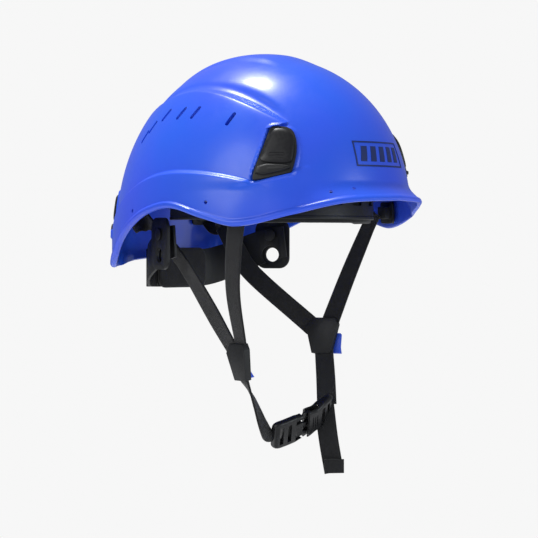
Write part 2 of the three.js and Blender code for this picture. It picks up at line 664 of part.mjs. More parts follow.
for (const { side, word } of SIDES) {
  add(`hanger_lug_${word}`, hangerLug(), 'plastic', lugFrame(side));
  add(`pivot_rivet_${word}`, pivotRivet(), 'plastic', lugFrame(side));
  add(`nape_arm_${word}`, napeArm(side), 'plastic');
  add(`rack_${word}`, rack(side), 'plastic');
}
add('ratchet_housing', ratchetHousing(), 'plastic');
add('ratchet_cover', ratchetCover(), 'plastic');
add('adjuster_knob', adjusterKnob(), 'plastic');
add('knob_screw', knobScrew(), 'steel');
add('drive_pinion', drivePinion(), 'plastic');
add('nape_pad', napePad(), 'foam');

for (const { side, word } of SIDES) {
  add(`front_strap_${word}`, frontStrap(side), 'webbing');
  add(`rear_strap_${word}`, rearStrap(side), 'webbing');
  add(`strap_divider_${word}`, strapDivider(side), 'plastic', dividerFrame(side));
}
add('divider_lever_right', dividerLever(0), 'lever', leverFrame(-1));
add('divider_lever_left', dividerLever(-LEVER.overhang), 'lever', leverFrame(1));
add('lower_strap_right', lowerStrapRight(), 'webbing');
add('lower_strap_left', lowerStrapLeft(), 'webbing');
add('strap_tail', strapTail(), 'webbing');
add('buckle_female', buckleFemale(), 'plastic', buckleFrame());
add('buckle_male', buckleMale(), 'plastic', buckleFrame());
add('buckle_prong_upper', buckleProng(1), 'plastic', buckleFrame());
add('buckle_prong_lower', buckleProng(-1), 'plastic', buckleFrame());

export default helmet;
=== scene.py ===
import json
import math

import bmesh
import bpy
import numpy as np
from mathutils import Matrix, Vector


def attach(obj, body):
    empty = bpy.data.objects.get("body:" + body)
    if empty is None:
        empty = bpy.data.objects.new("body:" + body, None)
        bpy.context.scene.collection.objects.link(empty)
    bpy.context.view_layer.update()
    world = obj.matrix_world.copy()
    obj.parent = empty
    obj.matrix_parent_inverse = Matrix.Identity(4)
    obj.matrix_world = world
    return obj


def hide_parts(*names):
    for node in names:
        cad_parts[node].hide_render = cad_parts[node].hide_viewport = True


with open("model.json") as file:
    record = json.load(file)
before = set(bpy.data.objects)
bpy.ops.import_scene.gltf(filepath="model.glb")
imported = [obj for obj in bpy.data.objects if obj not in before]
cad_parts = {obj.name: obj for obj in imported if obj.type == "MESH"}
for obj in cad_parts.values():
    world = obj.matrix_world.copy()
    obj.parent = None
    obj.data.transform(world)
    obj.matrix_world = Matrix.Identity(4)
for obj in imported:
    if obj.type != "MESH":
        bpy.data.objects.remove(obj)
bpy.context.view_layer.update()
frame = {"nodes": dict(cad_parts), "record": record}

MM = 0.001
AZIMUTH = -50          # the side the helmet is looked at from
BODIES = frame["record"]["behaviour"]["bodies"]
NODE_BODY = {node: body for body, nodes in BODIES.items() for node in nodes}

# ---------------------------------------------------------------- dimensions, as in the CAD
HALF_WIDTH, FRONT, REAR, CROWN, WALL, POWER = 104, 130, 127, 123, 3, 2.1
CENTRE_FRONT, CENTRE_REAR = -5, -25
RIM = [(0, 5), (25, 2.5), (45, -6.5), (65, -15.5), (78, -9), (91, -1), (103, -5),
       (113, -14), (123, -26), (133, -40), (143, -48), (160, -44), (180, -41)]
BRIM_REACH, BRIM_HALF_ANGLE, BRIM_TOP = 11, 62, 20
PANEL_RISE, PANEL_PEAK_ANGLE, PANEL_PEAK = 2.6, 97, 93
PANEL_FRONT, PANEL_REAR = 44, 152
PANEL_CORNER_ANGLE, PANEL_CORNER_Z = 53.3, 59      # where the panel's front edge bends beside the clip
LEDGE_RISE, LEDGE_PEAK_ANGLE, LEDGE_PEAK = 2.6, 90, 28
VENT_LENGTH, VENT_WIDTH, VENT_SLANT = 13, 3.4, 27
# Each vent's angle round the shell and its drop below the panel's upper edge.
VENTS = [(69.5, 17.8), (88.6, 18.6), (97.6, 19.3), (109, 18.6), (116.5, 25.6), (120.5, 31.6)]
# Small holes near the rim: the angle, signed by side, and the height above the rim.
PIN_HOLES = [(76, 12), (112, 9), (136, 9), (20, 9), (30, 9)]
PIN_RADIUS = 1.5
CLIP_PLATE, CLIP_SUNK = 3.4, 1
CLIPS = [("front_right", -50, 44, 1), ("front_left", 50, 44, 1),
         ("rear_right", -146, -2, 0.82), ("rear_left", 146, -2, 0.82)]
BAND_HALF_WIDTH, BAND_HALF_LENGTH, BAND_HEIGHT, BAND_THICK, BAND_Z, BAND_END = 76, 98, 26, 2, 2, 112
WEB_WIDTH, WEB_THICK = 16, 1.6
CROWN_WEB_WIDTH, CROWN_WEB_THICK, CROWN_WEB_RISE, CROWN_WEB_INSET = 18, 1.4, 82, 6
CROWN_HOOK_FRONT, CROWN_HOOK_REAR, CROWN_HOOK_Z = 62, 152, 14
CROWN_WEB_CROSSING = 4       # how far the left crown strap passes over the right one
FRONT_ANCHOR = Vector((84, -44, -18))
REAR_ROUTES = {"right": [(-50.5, 95.5, -13), (-47, 83, -12.5), (-45.4, 68, -26), (-52, 37, -50)],
               "left": [(50.5, 95.5, -14), (47, 83, -14), (46, 69, -33), (51, 53, -56)]}
DIVIDERS = {"right": (Vector((-57, -25, -124)), Vector((-0.93, 0.32, -0.17))),
            "left": (Vector((62, -14, -107)), Vector((0.963, 0.214, -0.166)))}
BUCKLE_END = Vector((-24, -31, -191))
BUCKLE_AXIS = Vector((0.852, -0.188, 0.488)).normalized()
BUCKLE_FACE_HINT = Vector((0, -0.92, -0.4))
BUCKLE_LENGTH, BUCKLE_WIDTH, BUCKLE_THICK, BUCKLE_WALL, BUCKLE_POCKET = 62, 27, 9, 2.4, 18
TAIL_END = Vector((31, -51, -217))


# ---------------------------------------------------------------- small maths
def ease(x, low, high):
    t = np.clip((np.asarray(x, float) - low) / (high - low), 0, 1)
    return t * t * (3 - 2 * t)


def curve_through(knots, x):
    """Smooth curve through (x, y) knots, with Catmull-Rom slopes."""
    kx, ky = (np.array(v, float) for v in zip(*knots))
    x = np.asarray(x, float)
    i = np.clip(np.searchsorted(kx, x, side="right") - 1, 0, len(kx) - 2)
    before, after = np.maximum(np.arange(len(kx)) - 1, 0), np.minimum(np.arange(len(kx)) + 1, len(kx) - 1)
    slope = (ky[after] - ky[before]) / (kx[after] - kx[before])
    span = kx[i + 1] - kx[i]
    t = np.clip((x - kx[i]) / span, 0, 1)
    return ((2 * t**3 - 3 * t**2 + 1) * ky[i] + (t**3 - 2 * t**2 + t) * span * slope[i]
            + (3 * t**2 - 2 * t**3) * ky[i + 1] + (t**3 - t**2) * span * slope[i + 1])


def frame_at(point, normal, up=Vector((0, 0, 1))):
    """Right-handed frame: z is the face normal and y is as near to up as it can be."""
    n = normal.normalized()
    y = (up - n * up.dot(n)).normalized()
    x = y.cross(n)
    rows = [(x[k], y[k], n[k], point[k]) for k in range(3)]
    return Matrix((*rows, (0, 0, 0, 1)))


def spline(points, count):
    """Points evenly spread along a smooth curve through the given ones."""
    p = [Vector(v) for v in points]
    p = [p[0] * 2 - p[1], *p, p[-1] * 2 - p[-2]]
    steps = 24
    dense = []
    for a, b, c, d in zip(p, p[1:], p[2:], p[3:]):
        for k in range(steps):
            t = k / steps
            dense.append(0.5 * (2 * b + (c - a) * t + (2 * a - 5 * b + 4 * c - d) * t**2
                                + (3 * b - a - 3 * c + d) * t**3))
    dense.append(p[-2])
    lengths = np.cumsum([0] + [(b - a).length for a, b in zip(dense, dense[1:])])
    spots = np.linspace(0, lengths[-1], count + 1)
    columns = [np.interp(spots, lengths, [v[k] for v in dense]) for k in range(3)]
    return [Vector(v) for v in zip(*columns)], spots


# ---------------------------------------------------------------- meshes
def new_object(name, mesh):
    obj = bpy.data.objects.new(name, mesh)
    bpy.context.scene.collection.objects.link(obj)
    return obj


def soften(obj, sharp_degrees=32):
    """Smooth shading, with edges sharper than the angle kept crisp."""
    bm = bmesh.new()
    bm.from_mesh(obj.data)
    for face in bm.faces:
        face.smooth = True
    for edge in bm.edges:
        joined = len(edge.link_faces) == 2
        edge.smooth = not (joined and edge.calc_face_angle(0) > math.radians(sharp_degrees))
    bm.to_mesh(obj.data)
    bm.free()
    return obj


def mesh_from(name, points, faces):
    """An outward-facing mesh in metres from points in millimetres."""
    mesh = bpy.data.meshes.new(name)
    mesh.from_pydata([tuple(float(c) * MM for c in p) for p in points], [], faces)
    bm = bmesh.new()
    bm.from_mesh(mesh)
    bmesh.ops.recalc_face_normals(bm, faces=bm.faces)
    bm.to_mesh(mesh)
    bm.free()
    return new_object(name, mesh)


def apply_modifiers(obj):
    evaluated = obj.evaluated_get(bpy.context.evaluated_depsgraph_get())
    mesh = bpy.data.meshes.new_from_object(evaluated)
    obj.modifiers.clear()
    old = obj.data
    obj.data = mesh
    bpy.data.meshes.remove(old)
    return obj


def bevel(obj, width, segments=3, degrees=35):
    mod = obj.modifiers.new("edges", "BEVEL")
    mod.width = width * MM
    mod.segments = segments
    mod.limit_method = "ANGLE"
    mod.angle_limit = math.radians(degrees)
    return apply_modifiers(obj)


def carve(obj, tools, operation="DIFFERENCE"):
    for tool in tools:
        mod = obj.modifiers.new("cut", "BOOLEAN")
        mod.operation = operation
        mod.solver = "MANIFOLD"
        mod.object = tool
    apply_modifiers(obj)
    for tool in tools:
        bpy.data.objects.remove(tool)
    return obj


def loft(name, sections, closed=False):
    """A body through sections of equal point count, capped at both ends or joined end to end."""
    count = len(sections[0])
    faces = []
    for s in range(len(sections) if closed else len(sections) - 1):
        a, b = s * count, ((s + 1) % len(sections)) * count
        faces += [(a + i, a + (i + 1) % count, b + (i + 1) % count, b + i) for i in range(count)]
    if not closed:
        last = (len(sections) - 1) * count
        faces += [tuple(range(count))[::-1], tuple(range(last, last + count))]
    return mesh_from(name, [p for section in sections for p in section], faces)


def extruded(name, outline, depth, start, matrix):
    low = [matrix @ Vector((x, y, start)) for x, y in outline]
    high = [matrix @ Vector((x, y, start + depth)) for x, y in outline]
    return loft(name, [low, high])


def round_rect(width, height, corner, steps=6):
    w, h = width / 2 - corner, height / 2 - corner
    turns = [(w, h, 0), (-w, h, 90), (-w, -h, 180), (w, -h, 270)]
    return [(cx + corner * math.cos(math.radians(a + 90 * k / steps)),
             cy + corner * math.sin(math.radians(a + 90 * k / steps)))
            for cx, cy, a in turns for k in range(steps + 1)]


def circle(radius, steps):
    turns = [2 * math.pi * k / steps for k in range(steps)]
    return [(radius * math.cos(turn), radius * math.sin(turn)) for turn in turns]


def settle(obj, body, material, slot, *nodes):
    """Finishes a piece: its material, the body it rides on, and the CAD nodes it stands for."""
    obj.data.materials.clear()
    obj.data.materials.append(material)
    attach(obj, body)
    if nodes:
        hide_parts(*nodes)
    return obj


def refined(node, material, slot, width=0.5, segments=2, moved=None):
    """The CAD piece with rounded edges, as a moulded part has."""
    obj = new_object(node + "_moulded", frame["nodes"][node].data.copy())
    if moved:
        obj.data.transform(moved)
    bm = bmesh.new()
    bm.from_mesh(obj.data)
    bmesh.ops.remove_doubles(bm, verts=bm.verts, dist=1e-6)
    bmesh.ops.dissolve_limit(bm, angle_limit=math.radians(1), verts=bm.verts, edges=bm.edges)
    bm.to_mesh(obj.data)
    bm.free()
    bevel(obj, width, segments, 30)
    soften(obj, 40)
    return settle(obj, NODE_BODY[node], material, slot, node)


# ---------------------------------------------------------------- materials
def principled(name, **values):
    mat = bpy.data.materials.new(name)
    mat.use_nodes = True
    tree = mat.node_tree
    shader = tree.nodes["Principled BSDF"]
    shader.inputs["Specular IOR Level"].default_value = 0.35
    for socket, value in values.items():
        shader.inputs[socket.replace("_", " ")].default_value = value
    return mat, tree, shader


def node(tree, kind, **settings):
    made = tree.nodes.new(kind)
    for key, value in settings.items():
        if key in made.inputs:
            made.inputs[key].default_value = value
        else:
            setattr(made, key, value)
    return made


def noise(tree, scale, detail=3.0, roughness=0.5):
    coordinates = tree.nodes.new("ShaderNodeTexCoord")
    texture = node(tree, "ShaderNodeTexNoise", Scale=scale, Detail=detail, Roughness=roughness)
    tree.links.new(coordinates.outputs["Object"], texture.inputs["Vector"])
    return texture


def ramp(tree, source, low, high, low_at=0.3, high_at=0.7):
    """A colour that varies between two along a noise."""
    band = tree.nodes.new("ShaderNodeValToRGB")
    band.color_ramp.elements[0].position = low_at
    band.color_ramp.elements[1].position = high_at
    band.color_ramp.elements[0].color = (*low, 1)
    band.color_ramp.elements[1].color = (*high, 1)
    tree.links.new(source, band.inputs["Fac"])
    return band.outputs["Color"]


def spread(tree, source, low, high):
    """A number that varies between two along a noise."""
    rng = node(tree, "ShaderNodeMapRange")
    rng.inputs["From Min"].default_value = 0.3
    rng.inputs["From Max"].default_value = 0.7
    rng.inputs["To Min"].default_value = low
    rng.inputs["To Max"].default_value = high
    tree.links.new(source, rng.inputs["Value"])
    return rng.outputs["Result"]


def bump(tree, shader, height, strength, distance, under=None):
    made = node(tree, "ShaderNodeBump", Strength=strength, Distance=distance)
    tree.links.new(height, made.inputs["Height"])
    if under is not None:
        tree.links.new(under.outputs["Normal"], made.inputs["Normal"])
    tree.links.new(made.outputs["Normal"], shader.inputs["Normal"])
    return made


def shell_material():
    """Glossy moulded shell: a slow colour drift, fine orange peel and a few rubbed patches."""
    mat, tree, shader = principled("shell_plastic", Coat_Weight=0.22, Coat_Roughness=0.2)
    shader.inputs["Specular IOR Level"].default_value = 0.38
    broad = noise(tree, 7)
    fine = noise(tree, 420, 2)
    scuffs = noise(tree, 60, 8, 0.75)
    tree.links.new(ramp(tree, broad.outputs["Fac"], (0.014, 0.105, 0.74), (0.036, 0.080, 0.76)),
                   shader.inputs["Base Color"])
    tree.links.new(spread(tree, scuffs.outputs["Fac"], 0.3, 0.44), shader.inputs["Roughness"])
    waves = bump(tree, shader, broad.outputs["Fac"], 0.1, 0.002)
    bump(tree, shader, fine.outputs["Fac"], 0.12, 0.0003, waves)
    return mat


def plastic_material(name, low, high, rough, grain=900, strength=0.22):
    """Moulded plastic: a colour that drifts between two, over a fine grain."""
    mat, tree, shader = principled(name)
    broad = noise(tree, 40)
    fine = noise(tree, grain, 2)
    tree.links.new(ramp(tree, broad.outputs["Fac"], low, high), shader.inputs["Base Color"])
    tree.links.new(spread(tree, fine.outputs["Fac"], *rough), shader.inputs["Roughness"])
    bump(tree, shader, fine.outputs["Fac"], strength, 0.0003)
    return mat


def webbing_material():
    """Flat polyester webbing: rows of picks across and a ribbed warp along the band, with painted shade
    darkening the grooves between the picks.
    """
    mat, tree, shader = principled("webbing", Sheen_Weight=0.25, Sheen_Roughness=0.4)
    across = node(tree, "ShaderNodeAttribute", attribute_name="across")
    along = node(tree, "ShaderNodeAttribute", attribute_name="along")
    place = tree.nodes.new("ShaderNodeCombineXYZ")
    tree.links.new(along.outputs["Fac"], place.inputs["X"])
    tree.links.new(across.outputs["Fac"], place.inputs["Y"])
    weave_and_groove_shade = node(tree, "ShaderNodeTexBrick")
    weave_and_groove_shade.inputs["Scale"].default_value = 1.0
    weave_and_groove_shade.inputs["Brick Width"].default_value = 1.7
    weave_and_groove_shade.inputs["Row Height"].default_value = 0.85
    weave_and_groove_shade.inputs["Mortar Size"].default_value = 0.16
    weave_and_groove_shade.inputs["Mortar Smooth"].default_value = 1.0
    weave_and_groove_shade.inputs["Color1"].default_value = (0.0065, 0.0065, 0.0075, 1)
    weave_and_groove_shade.inputs["Color2"].default_value = (0.013, 0.013, 0.015, 1)
    # Painted shade: the mortar colour makes the grooves between the picks darker than either pick colour.
    weave_and_groove_shade.inputs["Mortar"].default_value = (0.0035, 0.0035, 0.004, 1)
    tree.links.new(place.outputs["Vector"], weave_and_groove_shade.inputs["Vector"])
    tree.links.new(weave_and_groove_shade.outputs["Color"], shader.inputs["Base Color"])
    fuzz = noise(tree, 1500, 2)
    tree.links.new(spread(tree, fuzz.outputs["Fac"], 0.72, 0.95), shader.inputs["Roughness"])
    lift = node(tree, "ShaderNodeMath", operation="SUBTRACT")
    lift.inputs[0].default_value = 1.0
    tree.links.new(weave_and_groove_shade.outputs["Fac"], lift.inputs[1])
    fibres = bump(tree, shader, fuzz.outputs["Fac"], 0.2, 0.0001)
    bump(tree, shader, lift.outputs["Value"], 0.7, 0.0003, fibres)
    return mat


def foam_material():
    """Brushed textile over foam, with small cells."""
    mat, tree, shader = principled("foam_textile", Sheen_Weight=0.15, Sheen_Roughness=0.5, Roughness=0.92)
    cells = node(tree, "ShaderNodeTexVoronoi", Scale=700.0)
    coordinates = tree.nodes.new("ShaderNodeTexCoord")
    tree.links.new(coordinates.outputs["Object"], cells.inputs["Vector"])
    broad = noise(tree, 120)
    tree.links.new(ramp(tree, broad.outputs["Fac"], (0.006, 0.006, 0.007), (0.013, 0.013, 0.014)),
                   shader.inputs["Base Color"])
    bump(tree, shader, cells.outputs["Distance"], 0.5, 0.0004)
    return mat


def steel_material():
    """Zinc-plated steel with blotches of the plating."""
    mat, tree, shader = principled("zinc_steel", Metallic=1.0)
    marks = noise(tree, 300, 4)
    tree.links.new(ramp(tree, marks.outputs["Fac"], (0.42, 0.43, 0.45), (0.62, 0.63, 0.65)),
                   shader.inputs["Base Color"])
    tree.links.new(spread(tree, marks.outputs["Fac"], 0.28, 0.45), shader.inputs["Roughness"])
    return mat


SHELL_BLUE = shell_material()
BLACK = plastic_material("black_nylon", (0.006, 0.0065, 0.008), (0.011, 0.0115, 0.013), (0.42, 0.6))
SATIN_BLACK = plastic_material("satin_acetal", (0.006, 0.006, 0.007), (0.010, 0.010, 0.012),
                               (0.3, 0.44), 500, 0.1)
LEVER_BLUE = plastic_material("lever_plastic", (0.02, 0.07, 0.55), (0.03, 0.09, 0.62),
                              (0.3, 0.42), 500, 0.1)
BADGE_INK = plastic_material("badge_ink", (0.010, 0.022, 0.11), (0.014, 0.03, 0.14),
                             (0.35, 0.5), 600, 0.12)
WEBBING = webbing_material()
FOAM = foam_material()
STEEL = steel_material()


# ---------------------------------------------------------------- shell surface
def centre_height(angle):
    sweep = (1 - np.cos(np.radians(angle))) / 2
    return CENTRE_FRONT + (CENTRE_REAR - CENTRE_FRONT) * sweep


def rim_height(angle):
    return curve_through(RIM, np.abs(angle))


def panel_edge(angle):
    away = (np.abs(angle) - PANEL_PEAK_ANGLE) / 50
    return PANEL_PEAK - np.where(away < 0, 28, 22) * away**2


def ledge_edge(angle):
    away = (np.abs(angle) - LEDGE_PEAK_ANGLE) / 30
    return LEDGE_PEAK - np.where(away < 0, 9, 17) * away**2


def front_share(angle):
    """Grows from 0 half way along the side panel to 1 at its front end."""
    return 1 - ease(np.abs(angle), 56, 92)


def panel_front(z):
    """Angle of the panel's front edge: it leans back beside the clip and sweeps forward above it."""
    z = np.asarray(z, float)
    above = np.maximum(PANEL_CORNER_ANGLE - (z - PANEL_CORNER_Z) * 1.8, 42)
    beside = PANEL_CORNER_ANGLE + (PANEL_CORNER_Z - np.maximum(z, 14)) * 0.16
    return np.where(z > PANEL_CORNER_Z, above, beside)


def relief(angle, z, crisp):
    """How far the surface stands out from the plain dome; crisp narrows the steps."""
    a = np.abs(angle)
    rear = 1 - ease(a, PANEL_REAR - 4, PANEL_REAR + 2)
    if not crisp:
        side = ease(a, PANEL_FRONT - 6, PANEL_FRONT + 2) * (1 - ease(a, PANEL_REAR - 4, PANEL_REAR + 6))
        panel = PANEL_RISE * side * (1 - ease(z, panel_edge(angle) - 3, panel_edge(angle) + 2))
        ledge = LEDGE_RISE * side * (1 - ease(z, ledge_edge(angle) - 4, ledge_edge(angle)))
    else:
        ahead = front_share(angle)
        front = panel_front(z)
        high = ease(z, 10, 20)
        sweep = 0.9 + 9 * (1 - high)
        side = ease(a, front - sweep, front + sweep) * rear
        edge = panel_edge(angle)
        below = 1 - ease(z, edge - 2, edge + 1 + 2 * ahead)
        panel = PANEL_RISE * (1 + 0.7 * ahead * high) * side * below
        wide = 3 + 2.5 * ahead
        groove = (1.0 + 1.7 * ahead) * np.exp(-((z - edge - wide) / wide) ** 2) * rear * ease(a, 42, 56)
        panel = panel - groove
        edge = np.where(a < 60, 19 + (60 - a) * 0.55, ledge_edge(angle))
        ledge = (LEDGE_RISE + 1.2) * ease(a, 34, 54) * rear * (1 - ease(z, edge - 3.4, edge))
    rim = rim_height(angle)
    brim = BRIM_REACH * (1 - ease(a, 10, BRIM_HALF_ANGLE)) * (1 - ease(z, rim, BRIM_TOP)) ** 1.5
    return panel + ledge + brim


def shell_points(angle, z, outward=0.0, crisp=False):
    angle, z = np.broadcast_arrays(np.asarray(angle, float), np.asarray(z, float))
    centre = centre_height(angle)
    level = np.clip((z - centre) / (CROWN - centre), 0, 1)
    shrink = (1 - level**POWER) ** (1 / POWER)
    length = np.where(np.abs(angle) < 90, FRONT, REAR)
    extra = relief(angle, z, crisp) * np.minimum(1, shrink * 2) + outward
    turn = np.radians(angle)
    x = (HALF_WIDTH * shrink + extra) * np.sin(turn)
    y = -(length * shrink + extra) * np.cos(turn)
    return np.stack([x, y, z], -1)


def shell_frame(angle, z):
    """Frame on the outer surface: x runs round the shell, y up it, z out of it."""
    around = Vector(shell_points(angle + 1, z)) - Vector(shell_points(angle - 1, z))
    up = Vector(shell_points(angle, z + 1.5)) - Vector(shell_points(angle, z - 1.5))
    return frame_at(Vector(shell_points(angle, z)), around.cross(up))


def meridian_heights(angle, share):
    centre = centre_height(angle)
    level = np.clip((rim_height(angle) - centre) / (CROWN - centre), -1, 1)
    turn = np.pi / 2 + (np.arcsin(level) - np.pi / 2) * share
    return centre + (CROWN - centre) * np.sin(turn)


# Details that the CAD leaves out: a spine over the crown, a bead round the rim, the clips' surrounds.
SPINE_RISE, SPINE_HALF, SPINE_FRONT, SPINE_FADE = 2.0, 34, -48, 26
BEAD_RISE, BEAD_HEIGHT = 1.5, 4.4
BEZEL_RISE, BEZEL_WIDTH = 1.3, 1.4

# Clip outlines in the clip's own plane, with the slanted side towards -x; y runs up the shell.
POCKET = [(-6, 20.5), (-2, 22), (9, 21.5), (15, 18.5), (18.6, 11), (19.6, 0), (18, -12), (15.5, -21),
          (12, -22.5), (-19, -29.5), (-21, -27), (-17, -12), (-10.5, 5)]
LEAF = [(-3.5, 17.5), (0, 19.3), (8, 19), (13, 16), (16.3, 10), (17.2, 2), (16.2, -8), (14.6, -14),
        (-14.6, -12.4), (-12, -3), (-8, 8)]
STOP = [(-15.6, -14.4), (14.2, -16), (13, -19.6), (-18.6, -26.4)]


def clip_turned(outline, angle, scale):
    """The outline for one clip: its slanted side always faces the side panel."""
    flip = (1 if angle < 0 else -1) * (1 if abs(angle) < 90 else -1)
    points = [((x * 0.84 - 1) * flip * scale, (y * 0.87 - 1.5) * scale) for x, y in outline]
    return points if flip > 0 else points[::-1]


def outline_distance(x, y, outline):
    """Distance outside a closed outline, negative inside it."""
    best = np.full(np.shape(x), 1e9)
    inside = np.zeros(np.shape(x), bool)
    for (ax, ay), (bx, by) in zip(outline, outline[1:] + outline[:1]):
        dx, dy = bx - ax, by - ay
        t = np.clip(((x - ax) * dx + (y - ay) * dy) / (dx * dx + dy * dy), 0, 1)
        best = np.minimum(best, np.hypot(x - ax - t * dx, y - ay - t * dy))
        if ay != by:
            inside ^= ((ay > y) != (by > y)) & (x < (bx - ax) * (y - ay) / (by - ay) + ax)
    return np.where(inside, -best, best)


def rounded(outline, passes=2):
    """Corner-cut outline, so that the corners come out round."""
    for _ in range(passes):
        sides = zip(outline, outline[1:] + outline[:1])
        outline = [(ax + (bx - ax) * t, ay + (by - ay) * t)
                   for (ax, ay), (bx, by) in sides for t in (0.25, 0.75)]
    return outline


def grown(outline, by):
    """The outline with each point moved out from the middle."""
    cx, cy = (sum(v) / len(outline) for v in zip(*outline))
    moved = []
    for x, y in outline:
        reach = math.hypot(x - cx, y - cy)
        moved.append((x + by * (x - cx) / reach, y + by * (y - cy) / reach))
    return moved


def clip_rise(points):
    """The raised surround that each accessory clip sits in."""
    rise = np.zeros(points.shape[:-1])
    for _, angle, z, scale in CLIPS:
        inverse = shell_frame(angle, z).inverted()
        local = points @ np.array(inverse.to_3x3()).T + np.array(inverse.translation)
        away = outline_distance(local[..., 0], local[..., 1], rounded(clip_turned(POCKET, angle, scale)))
        near = np.abs(local[..., 2]) < 25
        rise = np.maximum(rise, BEZEL_RISE * (1 - ease(away, BEZEL_WIDTH, BEZEL_WIDTH + 1.8)) * near)
    return rise


def detailed_ring(angles, share):
    """One ring of the outer surface with the spine, the rim bead and the clip surrounds."""
    z = meridian_heights(angles, share)
    off_bead = np.abs(z - rim_height(angles) - BEAD_HEIGHT * 0.35)
    bead = BEAD_RISE * (1 - ease(off_bead, 0.9, BEAD_HEIGHT * 0.6))
    base = shell_points(angles, z, 0, True)
    shrink = np.hypot(base[..., 0] / HALF_WIDTH, base[..., 1] / FRONT)
    slope = ease(shrink, 0.0, 1.0)
    begun = ease(base[..., 1], SPINE_FRONT, SPINE_FRONT + SPINE_FADE)
    spine = SPINE_RISE * (1 - ease(np.abs(base[..., 0]), SPINE_HALF - 9, SPINE_HALF)) * begun
    out = bead + clip_rise(base) + spine * slope
    turn = np.radians(angles)
    base[..., 0] += out * np.sin(turn)
    base[..., 1] -= out * np.cos(turn)
    base[..., 2] += spine * (1 - slope * 0.6)
    return base


def shell_body():
    """The closed wall: detailed rings outside, a rolled lip, and plain rings inside."""
    sectors, outer_rings, inner_rings = 600, 300, 40
    angles = np.linspace(-180, 180, sectors, endpoint=False)
    rings = [detailed_ring(angles, share) for share in np.linspace(0, 1, outer_rings + 1)[1:]]
    inner = []
    for share in np.linspace(1, 0, inner_rings, endpoint=False):
        ring = shell_points(angles, meridian_heights(angles, share), -WALL * share**0.35)
        ring[..., 2] -= WALL * (1 - share) ** 0.6
        inner.append(ring)
    outer_edge, inner_edge = rings[-1], inner[0]
    middle, half = (outer_edge + inner_edge) / 2, (outer_edge - inner_edge) / 2
    for k in (1, 2, 3):
        swing = math.pi * k / 4
        lip = middle + half * math.cos(swing)
        lip[..., 2] -= 1.6 * math.sin(swing)
        rings.append(lip)
    rings += inner
    points = np.concatenate(rings)
    faces = []
    for s in range(len(rings) - 1):
        a, b = s * sectors, (s + 1) * sectors
        faces += [(a + i, b + i, b + (i + 1) % sectors, a + (i + 1) % sectors) for i in range(sectors)]
    top, under = len(points), len(points) + 1
    last = (len(rings) - 1) * sectors
    faces += [(top, i, (i + 1) % sectors) for i in range(sectors)]
    faces += [(under, last + (i + 1) % sectors, last + i) for i in range(sectors)]
    crown = (0, 0, CROWN + SPINE_RISE)
    return mesh_from("helmet_shell", [*points, crown, (0, 0, CROWN - WALL)], faces)


def vent_tool(side, angle, drop):
    matrix = shell_frame(side * angle, float(panel_edge(angle)) - drop)
    matrix = matrix @ Matrix.Rotation(math.radians(side * VENT_SLANT), 4, "Z")
    return extruded("vent", round_rect(VENT_WIDTH, VENT_LENGTH, VENT_WIDTH / 2 - 0.05), 26, -15, matrix)


def pin_tool(angle, above_rim):
    z = float(rim_height(angle)) + above_rim
    return extruded("pin", circle(PIN_RADIUS, 16), 20, -12, shell_frame(angle, z))


def build_shell():
    shell = shell_body()
    tools = [vent_tool(side, *vent) for side in (-1, 1) for vent in VENTS]
    for _, angle, z, scale in CLIPS:
        outline = grown(rounded(clip_turned(POCKET, angle, scale)), 0.25)
        tools.append(extruded("seat", outline, 30, -CLIP_SUNK - 1.2, shell_frame(angle, z)))
    tools += [pin_tool(side * angle, above) for side in (-1, 1) for angle, above in PIN_HOLES]
    carve(shell, tools)
    soften(shell, 38)
    return settle(shell, "helmet", SHELL_BLUE, "shell_blue", "outer_shell")


# ---------------------------------------------------------------- badge
def shell_patch(name, corners, rise=0.45, columns=10, rows=3):
    """A thin film on the shell over a four-sided area given as (mm round the front, height)."""
    to_angle = math.degrees(1 / HALF_WIDTH)
    a, b, c, d = (np.array(v, float) for v in corners)
    grid = []
    for j in range(rows + 1):
        for i in range(columns + 1):
            u, v = i / columns, j / rows
            grid.append((a * (1 - u) + b * u) * (1 - v) + (d * (1 - u) + c * u) * v)
    top = [shell_points(s[0] * to_angle, s[1], rise, True) for s in grid]
    low = [shell_points(s[0] * to_angle, s[1], 0.08, True) for s in grid]
    w = columns + 1
    faces = []
    for j in range(rows):
        for i in range(columns):
            k = j * w + i
            faces.append((k, k + 1, k + w + 1, k + w))
            k += len(grid)
            faces.append((k, k + w, k + w + 1, k + 1))
    edge = [*range(columns), *[j * w + columns for j in range(rows)],
            *[rows * w + i for i in range(columns, 0, -1)], *[j * w for j in range(rows, 0, -1)]]
    for k, m in zip(edge, edge[1:] + edge[:1]):
        faces.append((k, k + len(grid), m + len(grid), m))
    return mesh_from(name, top + low, faces)


BADGE_Z, BADGE_HALF_W, BADGE_HALF_H, BADGE_LINE = 40, 30, 10, 1.2
BAR_COUNT, BAR_WIDTH, BAR_LEAN, BAR_PITCH = 5, 6, 3, 10.4


def build_badge():
    """A plain printed panel: a border round a row of slanted bars."""
    w, h, t, z = BADGE_HALF_W, BADGE_HALF_H, BADGE_LINE, BADGE_Z
    areas = [[(-w, z - h), (w, z - h), (w, z - h + t), (-w, z - h + t)],
             [(-w, z + h - t), (w, z + h - t), (w, z + h), (-w, z + h)],
             [(-w, z - h + t), (-w + t, z - h + t), (-w + t, z + h - t), (-w, z + h - t)],
             [(w - t, z - h + t), (w, z - h + t), (w, z + h - t), (w - t, z + h - t)]]
    low, high, half, lean = z - h + 4, z + h - 4, BAR_WIDTH / 2, BAR_LEAN / 2
    for k in range(BAR_COUNT):
        x = (k - (BAR_COUNT - 1) / 2) * BAR_PITCH
        areas.append([(x - half - lean, low), (x + half - lean, low),
                      (x + half + lean, high), (x - half + lean, high)])
    pieces = [shell_patch(f"badge_{k}", area) for k, area in enumerate(areas)]
    badge = pieces[0]
    carve(badge, pieces[1:], "UNION")
    badge.name = "badge_print"
    soften(badge)
    return settle(badge, "helmet", BADGE_INK, "badge_dark", "front_badge")


